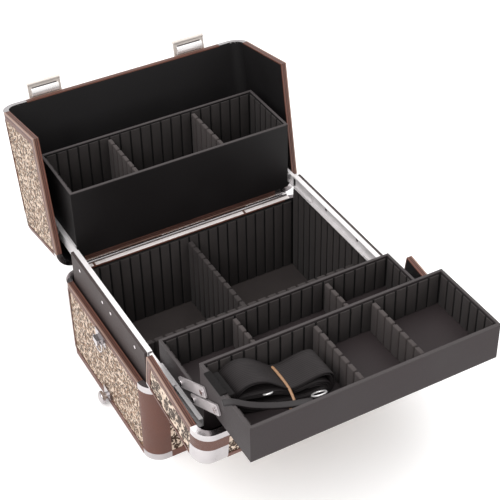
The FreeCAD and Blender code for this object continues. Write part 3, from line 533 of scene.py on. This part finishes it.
class TRAINCASE_OT_stage(bpy.types.Operator):
    """Set the floor, the soft lights and the camera"""
    bl_idname = "traincase.stage"
    bl_label = "Stage"

    def execute(self, context):
        scene = context.scene
        bm = bmesh.new()
        bmesh.ops.create_grid(bm, x_segments=1, y_segments=1, size=6.0)
        bmesh.ops.translate(bm, vec=(0, 0, CAD_BOX[0][2] - 0.0002), verts=bm.verts)
        mesh = bpy.data.meshes.new("floor")
        bm.to_mesh(mesh)
        bm.free()
        floor = bpy.data.objects.new("floor", mesh)
        scene.collection.objects.link(floor)
        pale = Finish("pale_floor", Base_Color=(0.97, 0.97, 0.97), Roughness=0.9,
                      Emission_Color=(1.0, 1.0, 1.0), Emission_Strength=0.16)
        mesh.materials.append(pale.material)
        world = bpy.data.worlds.new("studio")
        world.use_nodes = True
        sky = next(n for n in world.node_tree.nodes if n.type == "BACKGROUND")
        sky.inputs["Color"].default_value = (1.0, 1.0, 1.0, 1)
        sky.inputs["Strength"].default_value = 0.95
        scene.world = world
        for name, place, aim, side, power, tone in (
                ("soft_key", (-1.6, -0.9, 2.0), (0, 0, 0.1), 1.8, 34, (1.0, 0.995, 0.99)),
                ("soft_top", (0.25, 0.2, 2.3), (0, 0, 0.1), 2.2, 24, (1.0, 1.0, 1.0)),
                ("soft_fill", (1.9, -1.4, 1.0), (0, 0, 0.15), 1.6, 7, (1.0, 1.0, 1.0))):
            light = bpy.data.lights.new(name, "AREA")
            light.shape, light.size, light.energy, light.color = "SQUARE", side, power, tone
            holder = bpy.data.objects.new(name, light)
            holder.location = place
            holder.rotation_euler = (Vector(aim) - Vector(place)).to_track_quat("-Z", "Y").to_euler()
            scene.collection.objects.link(holder)
        lens = bpy.data.cameras.new("camera")
        lens.lens, lens.sensor_width, lens.clip_start = CAMERA_LENS, CAMERA_SENSOR, 0.05
        camera = bpy.data.objects.new("camera", lens)
        turn = Matrix((CAMERA_RIGHT, CAMERA_UP, CAMERA_BACK)).transposed().to_4x4()
        camera.matrix_world = Matrix.Translation(CAMERA_PLACE) @ turn
        scene.collection.objects.link(camera)
        scene.camera = camera
        scene.view_settings.view_transform = "Standard"
        return {"FINISHED"}


class TRAINCASE_OT_coverings(bpy.types.Operator):
    """Cover the base and both lids with print, leather, edge trims and plated corners"""
    bl_idname = "traincase.coverings"
    bl_label = "Coverings"

    def execute(self, context):
        c = colours()
        rim = limits("base_edge_frame")[2][1] * MM
        wear(spotted_print("spotted_print_base", -0.1135), "base_print_panels")
        wear(spotted_print("spotted_print_lids"), "rear_lid_print_panels")
        wear(spotted_print("spotted_print_front", 0.0), "front_lid_print_panels")
        wear(leather("brown_leather", tuple(c.leather)), "base_corner_leathers", "rear_lid_corner_leathers",
             "front_lid_corner_leathers")
        wear(leather("edge_trim_base", tuple(c.trim), rim=rim), "base_edge_frame")
        wear(leather("edge_trim_rear", tuple(c.trim), REAR_TURN, rim + LID_GAP, PARTING), "rear_lid_edge_frame")
        wear(leather("edge_trim_front", tuple(c.trim), FRONT_TURN, rim + LID_GAP, PARTING), "front_lid_edge_frame")
        wear(plated("plated_corners", c.metal, 0.17), "base_corner_caps", "rear_lid_corner_caps",
             "front_lid_corner_caps")
        wear(leathercloth("dark_board", (0.0072, 0.0062, 0.0066)), "base_shell", "rear_lid_shell", "front_lid_shell")
        return {"FINISHED"}


class TRAINCASE_OT_compartment(bpy.types.Operator):
    """Line the base with grooved foam and set its dividers"""
    bl_idname = "traincase.compartment"
    bl_label = "Compartment"

    def execute(self, context):
        c, sizes = colours(), context.scene.lining_sizes
        dark = foam("grooved_foam_base", shade(c.foam, 1.35))
        wear(foam("floor_felt", (0.032, 0.0255, 0.0245)), "floor_pad")
        x, y, z = limits("compartment_liners")
        floor = limits("floor_pad")[2][1]
        top = limits("cross_divider")[2][1]
        backing = LINER_THICK - sizes.depth / MM
        clear, tight = LINER_THICK + 0.2, LINER_THICK + 0.4
        bm, back = bmesh.new(), bmesh.new()
        made = []
        for side in (-1, 1):
            face = side * (x[1] - backing)
            block(back, ordered(face, side * x[1]), (y[0] + LINER_THICK, y[1] - LINER_THICK), (floor - 2, z[1] - 1))
            made += ribs(bm, "Y", face, -side, (y[0] + clear, y[1] - clear), (floor, z[1] - 0.4))
            wall = side * (y[1] - backing)
            block(back, (-x[1] + clear, x[1] - clear), ordered(wall, side * (y[1] - 0.4)), (floor, top - 1))
            made += ribs(bm, "X", wall, -side, (-x[1] + tight, x[1] - tight), (floor, top - 0.4))
        soften(bm, sizes.soft, 2, made)
        piece("compartment_grooves", bm, "base", dark, replaces=["compartment_liners"])
        # The backing between the ribs is painted near-black: painted shade in the grooves.
        shadow = foam("groove_backing_painted_shade", shade(c.foam, 0.22))
        piece("compartment_backing", back, "base", shadow)
        for node, across in (("cross_divider", "X"), ("main_divider", "Y")):
            x, y, z = limits(node)
            span, over = (x, y) if across == "X" else (y, x)
            bm = bmesh.new()
            made = beads(bm, across, sum(over) / 2, over[1] - over[0], span, z)
            soften(bm, sizes.soft * 2.4, 3, made)
            piece(f"{node}_foam", bm, "base", foam(f"{node}_cloth", shade(c.foam, 1.5)), replaces=[node])
        wear(leathercloth("side_board_paint", (0.057, 0.043, 0.042)), "side_boards")
        return {"FINISHED"}


class TRAINCASE_OT_trays(bpy.types.Operator):
    """Cover the three trays and give them grooved linings, dividers and rolled rims"""
    bl_idname = "traincase.trays"
    bl_label = "Trays"

    def execute(self, context):
        # The rear tray's covering (0.17 of the others') and its lining (1.0 against 1.35) are darker copies of the
        # same materials: painted shade on that tray.
        for name, tone, lining in (("lower_tray", 1.0, 1.35), ("upper_tray", 1.0, 1.35), ("rear_tray", 0.17, 1.0)):
            rim = limits(f"{name}_box")[2][1] * MM
            cloth = leathercloth(f"{name}_cloth", shade(colours().trays, tone), rim, (0.058, 0.050, 0.0505))
            wear(cloth, f"{name}_box")
            self.line(name, lining)
            self.divide(name)
            self.roll(name)
        return {"FINISHED"}

    def line(self, name, tone):
        """The grooved lining round the four walls, on a backing painted dark as the shade in its grooves."""
        c, sizes = colours(), bpy.context.scene.lining_sizes
        x, y, z = limits(f"{name}_lining")
        backing, clear = TRAY_LINING - sizes.depth / MM, TRAY_LINING + 0.2
        bm, back = bmesh.new(), bmesh.new()
        made = []
        for side in (-1, 1):
            face = side * (x[1] - backing)
            block(back, ordered(face, side * x[1]), y, (z[0], z[1] - 0.8))
            made += ribs(bm, "Y", face, -side, (y[0] + clear, y[1] - clear), (z[0], z[1] - 0.3))
        for wall, outer, inward in ((y[0] + backing, y[0], 1), (y[1] - backing, y[1], -1)):
            block(back, (x[0] + backing, x[1] - backing), ordered(wall, outer), (z[0], z[1] - 0.8))
            made += ribs(bm, "X", wall, inward, (x[0] + clear, x[1] - clear), (z[0], z[1] - 0.3))
        soften(bm, sizes.soft, 2, made)
        piece(f"{name}_grooves", bm, name, foam(f"{name}_foam", shade(c.foam, tone)),
              replaces=[f"{name}_lining"])
        # The backing between the ribs is painted near-black: painted shade in the grooves.
        piece(f"{name}_backing", back, name, foam(f"{name}_backing_painted_shade", shade(c.foam, 0.22)))

    def divide(self, name):
        """The tray's two dividers."""
        bm = bmesh.new()
        made = []
        x, y, z = limits(f"{name}_dividers")
        for middle in (x[0] + DIVIDER_THICK / 2, x[1] - DIVIDER_THICK / 2):
            made += beads(bm, "Y", middle, DIVIDER_THICK, (y[0] - 0.1, y[1] + 0.1), z)
        soften(bm, bpy.context.scene.lining_sizes.soft * 2.2, 3, made)
        piece(f"{name}_divider_foam", bm, name, foam(f"{name}_divider_cloth", shade(colours().foam, 2.3)),
              replaces=[f"{name}_dividers"])

    def roll(self, name):
        """The covering's rolled rim on the tray's four walls."""
        x, y, z = limits(f"{name}_box")
        lap, low = 0.15, z[1] - 0.9
        bm = bmesh.new()
        for across, over in ((x[0], y[0]), (x[1] - TRAY_WALL, y[1] - TRAY_WALL)):
            block(bm, (across - lap, across + TRAY_WALL + lap), (y[0] - lap, y[1] + lap), (low, z[1] + 0.55))
            block(bm, (x[0] - lap, x[1] + lap), (over - lap, over + TRAY_WALL + lap), (low, z[1] + 0.5))
        soften(bm, 0.0006, 2)
        piece(f"{name}_rim", bm, name, leathercloth(f"{name}_rim_cloth", (0.055, 0.047, 0.0475)))


class TRAINCASE_OT_slides(bpy.types.Operator):
    """Finish the telescopic slides, swing links and rivets"""
    bl_idname = "traincase.slides"
    bl_label = "Slides and links"

    def execute(self, context):
        c = colours()
        bright = plated("rolled_steel", (0.80, 0.77, 0.775), 0.3, (1, 0.02, 1), shine=0.22)
        wear(bright, "slide_rails", "front_slide_middles", "rear_slide_middles", "lower_tray_runners",
             "rear_tray_runners")
        wear(plated("link_steel", (0.50, 0.46, 0.465), 0.36, (1, 0.1, 0.1), shine=0.5), "rear_links", "front_links")
        wear(plated("rivet_steel", (0.88, 0.84, 0.85), 0.2), "rail_rivets", "lower_link_rivets", "upper_link_rivets")
        x, y, z = limits("slide_rails")
        bm = bmesh.new()
        for side in (-1, 1):
            across = ordered(side * (x[1] - 1.0), side * (x[1] - 5.2))
            for end in (-1, 1):
                block(bm, across, ordered(end * (y[1] - 0.2), end * (y[1] + 1.4)), (z[0] + 1.4, z[1] - 1.3))
        soften(bm, 0.0004, 2)
        piece("rail_end_stops", bm, "base", rubber("black_stop", (0.012, 0.011, 0.011), 0.45))
        bm = bmesh.new()
        for side in (-1, 1):
            for place in (-84, -40, 30, 84):
                dome(bm, (side * (x[1] - 1.3), place, sum(z) / 2), 2.6, 0.12)
        piece("rail_screws", bm, "base", plated("screw_steel", tuple(c.metal), 0.2))
        return {"FINISHED"}


class TRAINCASE_OT_fittings(bpy.types.Operator):
    """Finish the hinges, latches, handle, strap rings and side studs"""
    bl_idname = "traincase.fittings"
    bl_label = "Fittings"

    def execute(self, context):
        c = colours()
        metal = plated("plated_fittings", c.metal, 0.18)
        satin = plated("satin_latches", (0.66, 0.60, 0.555), 0.38, (1, 0.2, 0.2), shine=0.55)
        wear(metal, "rear_hinge_base_leaf", "rear_hinge_lid_leaf", "rear_hinge_pin", "front_hinge_base_leaf",
             "front_hinge_lid_leaf", "front_hinge_pin", "latch_mounts", "latch_keepers", "handle_mounts",
             "strap_ring_left", "strap_ring_right", "strap_ring_mounts", "side_studs")
        wear(satin, "latch_hasp_left", "latch_hasp_right")
        wear(plated("rim_strip_steel", (0.96, 0.89, 0.87), 0.4, (0.02, 1, 1), shine=0.0), "rear_rim_strip")
        for word, middle in LATCH_MIDDLES.items():
            self.latch(word, middle, f"hasp_{word}", satin)
        wear(leather("handle_leather", (0.05, 0.03, 0.024)), "carry_handle")
        bm = bmesh.new()
        x, _, z = limits("side_studs")
        for side in (-1, 1):
            dome(bm, (side * (x[1] - 0.2), 0, sum(z) / 2 - 1.4), 7.6, 0.42)
        piece("stud_domes", bm, "base", metal)
        return {"FINISHED"}

    def latch(self, word, middle, body, satin):
        """The plate over a hasp, its half-round lever and a dark strip of painted shade in the seam behind it, drawn
        on the closed lid.
        """
        bm = bmesh.new()
        block(bm, (middle - 13, middle + 13), (-69, -58.5), (234.9, 237.1))
        soften(bm, 0.0003, 2)
        piece(f"latch_cover_{word}", bm, body, satin, place=REAR_TURN)
        # A dark strip in the seam: painted shade.
        bm = bmesh.new()
        block(bm, (middle - 16, middle + 16), (-66.2, -65.2), (234.2, 235.2))
        shadow = rubber(f"seam_shade_{word}", (0.02, 0.018, 0.018), 0.6)
        piece(f"latch_seam_painted_shade_{word}", bm, body, shadow, place=REAR_TURN)
        bm = bmesh.new()
        radius = 0.0052
        lever = bmesh.ops.create_cone(bm, cap_ends=True, segments=28, radius1=radius, radius2=radius,
                                      depth=0.035)["verts"]
        bmesh.ops.rotate(bm, cent=(0, 0, 0), matrix=Matrix.Rotation(math.pi / 2, 3, "Y"), verts=lever)
        bmesh.ops.scale(bm, vec=(1, 1, 0.62), verts=lever)
        bmesh.ops.translate(bm, vec=(middle * MM, -0.0600, 0.2343), verts=lever)
        bright = plated(f"lever_plating_{word}", (0.84, 0.81, 0.80), 0.24, shine=0.45)
        piece(f"latch_lever_{word}", bm, body, bright, place=REAR_TURN)


def hank_turn(x, z, inset, inner):
    """One turn of the wound strap as (across, high) points: from the pinch round the left end, below, and back."""
    pinch, low = STRAP_PINCH, z[0] + 1.0
    left = z[1] + 6.5 - inset - (13 if inner else 0)
    right = z[1] + 2.5 - inset - (7 if inner else 0)
    return [(pinch, z[0] + 21.5 - inset), (pinch - 10, min(z[0] + 29, left)), (pinch - 22, left),
            (x[0] + 15 + inset * 0.6, left), (x[0] + inset, z[0] + 24 - inset * 0.4), (x[0] + 1 + inset, z[0] + 10),
            (x[0] + 14 + inset, low + inset), (pinch - 22, low + inset * 0.8), (pinch, low + inset * 0.8),
            (pinch + 20, low + inset * 0.8), (x[1] - 6 - inset, low + 3 + inset), (x[1] - inset, z[0] + 15),
            (x[1] + 1 - inset, right - 5), (x[1] - 9 - inset, right),
            (pinch + 18, min(z[0] + 29 - inset, right - 3))]


class TRAINCASE_OT_strap(bpy.types.Operator):
    """Wind the carry strap into its hank, with its band, end tab and hooks"""
    bl_idname = "traincase.strap"
    bl_label = "Carry strap"

    def execute(self, context):
        sizes = context.scene.strap_sizes
        x, y, z = limits("carry_strap")
        layer = sizes.thick / MM + 0.8
        points = [(across, y[0], high) for k in range(sizes.turns)
                  for across, high in hank_turn(x, z, k * layer, k > 1)]
        bm = drawn_line(context, points)
        strips = 6
        for step in range(strips):
            edge = y[0] * MM + step * sizes.width / strips
            sweep(bm, [e for e in bm.edges if abs(sum(v.co.y for v in e.verts) / 2 - edge) < 1e-6],
                  (0, sizes.width / strips, 0))
        strap = piece("carry_strap_webbing", bm, "upper_tray", webbing("ribbed_webbing"),
                      replaces=["carry_strap"], smooth=60, keep_normals=True)
        thicken(strap, sizes.thick)
        for vertex in strap.data.vertices:
            vertex.co.y -= STRAP_SLANT * (vertex.co.x - STRAP_PINCH * MM)
        self.end_tab(context)
        self.pad()
        self.hooks()
        self.band(context, y, z)
        return {"FINISHED"}

    def end_tab(self, context):
        """The smooth end that hangs over the tray's left wall and runs in along the hank's front."""
        bm = drawn_line(context, [(-150, -269, 226.8), (-144, -270, 226.9), (-138, -271.5, 225), (-127, -274, 217.5),
                                  (-112, -276, 210.5), (-95, -279, 204.5), (-76, -282, 200.5), (-60, -284.5, 199)])
        sweep(bm, bm.edges, (-0.0018, -0.0072, -0.0016))
        smooth_leather = rubber("smooth_end_leather", (0.016, 0.0130, 0.0135), 0.42, gloss=0.35)
        tab = piece("strap_end_tab", bm, "upper_tray", smooth_leather, smooth=60, keep_normals=True)
        thicken(tab, 0.003)
        soft = tab.modifiers.new("soft_edges", "BEVEL")
        soft.width, soft.segments = 0.0011, 3

    def pad(self):
        """The shoulder pad's two layers, over the wall and inside it."""
        bm = bmesh.new()
        block(bm, (-147.5, -139.6), (-262, -227), (223.4, 226.2))
        block(bm, (-138.8, -131.5), (-262, -227), (214, 221))
        soften(bm, 0.0012, 3)
        pad_leather = rubber("pad_leather", (0.0065, 0.0055, 0.0055), 0.7, gloss=0.15)
        piece("strap_pad", bm, "upper_tray", pad_leather)

    def hooks(self):
        """The rings of the two snap hooks, as wire rings that lean back."""
        bm = bmesh.new()
        for centre, radius in (((-96, -261.5, 203), 4.6), ((-50, -281.5, 196.5), 7.5)):
            known = set(bm.verts)
            hoop = bmesh.ops.create_circle(bm, segments=12, radius=0.0010)["verts"]
            bmesh.ops.rotate(bm, cent=(0, 0, 0), matrix=Matrix.Rotation(math.pi / 2, 3, "X"), verts=hoop)
            bmesh.ops.translate(bm, vec=(radius * MM, 0, 0), verts=hoop)
            edges = list({e for v in hoop for e in v.link_edges})
            bmesh.ops.spin(bm, geom=hoop + edges, cent=(0, 0, 0), axis=(0, 0, 1), angle=2 * math.pi, steps=36,
                           use_merge=True)
            lean = Matrix.Translation(Vector(centre) * MM) @ Matrix.Rotation(math.radians(-34), 4, "X")
            bmesh.ops.transform(bm, matrix=lean, verts=[v for v in bm.verts if v not in known])
        piece("strap_hooks", bm, "upper_tray", plated("hook_plating", (0.85, 0.83, 0.83), 0.18, shine=0.4))

    def band(self, context, y, z):
        """The rubber band: up behind the hank, over it at the pinch, down in front of the end tab, and under."""
        x, low = STRAP_PINCH - 1.7, z[0]
        bm = drawn_line(context, [(x, y[1] + 1, low + 8), (x, y[1] + 0.5, low + 22), (x, y[1] - 4, low + 24.6),
                                  (x, y[0] + 6, low + 24.2), (x - 1, y[0] - 3, low + 23), (x - 3, y[0] - 17, low + 18),
                                  (x - 4, y[0] - 20, low + 7), (x - 3, y[0] - 12, low + 1.0), (x, y[0] + 8, low + 0.8),
                                  (x, y[1] - 6, low + 0.8)], closed=True)
        sweep(bm, bm.edges, (0.0027, 0, 0))
        band = piece("tan_band", bm, "upper_tray", rubber("tan_rubber", (0.27, 0.150, 0.080), 0.42),
                     replaces=["strap_band"], keep_normals=True)
        thicken(band, 0.001)


class TRAINCASE_PT_panel(bpy.types.Panel):
    """Lists the groups of pieces"""
    bl_idname = "TRAINCASE_PT_panel"
    bl_label = "Makeup Train Case"
    bl_space_type = "VIEW_3D"
    bl_region_type = "UI"
    bl_category = "Train Case"

    def draw(self, context):
        for group in (context.scene.case_colours, context.scene.lining_sizes, context.scene.strap_sizes):
            for name in group.bl_rna.properties.keys():
                if name not in ("rna_type", "name"):
                    self.layout.prop(group, name)
        for step in STEPS:
            self.layout.operator(step.bl_idname)


GROUPS = {"lining_sizes": LiningSizes, "strap_sizes": StrapSizes, "case_colours": CaseColours}
STEPS = (TRAINCASE_OT_stage, TRAINCASE_OT_coverings, TRAINCASE_OT_compartment, TRAINCASE_OT_trays,
         TRAINCASE_OT_slides, TRAINCASE_OT_fittings, TRAINCASE_OT_strap)


def register():
    for kind in (*GROUPS.values(), *STEPS, TRAINCASE_PT_panel):
        bpy.utils.register_class(kind)
    for name, group in GROUPS.items():
        setattr(bpy.types.Scene, name, PointerProperty(type=group))


def unregister():
    for name in GROUPS:
        delattr(bpy.types.Scene, name)
    for kind in reversed((*GROUPS.values(), *STEPS, TRAINCASE_PT_panel)):
        bpy.utils.unregister_class(kind)


def main():
    register()
    for step in STEPS:
        category, name = step.bl_idname.split(".")
        getattr(getattr(bpy.ops, category), name)()


if __name__ == "__main__":
    main()
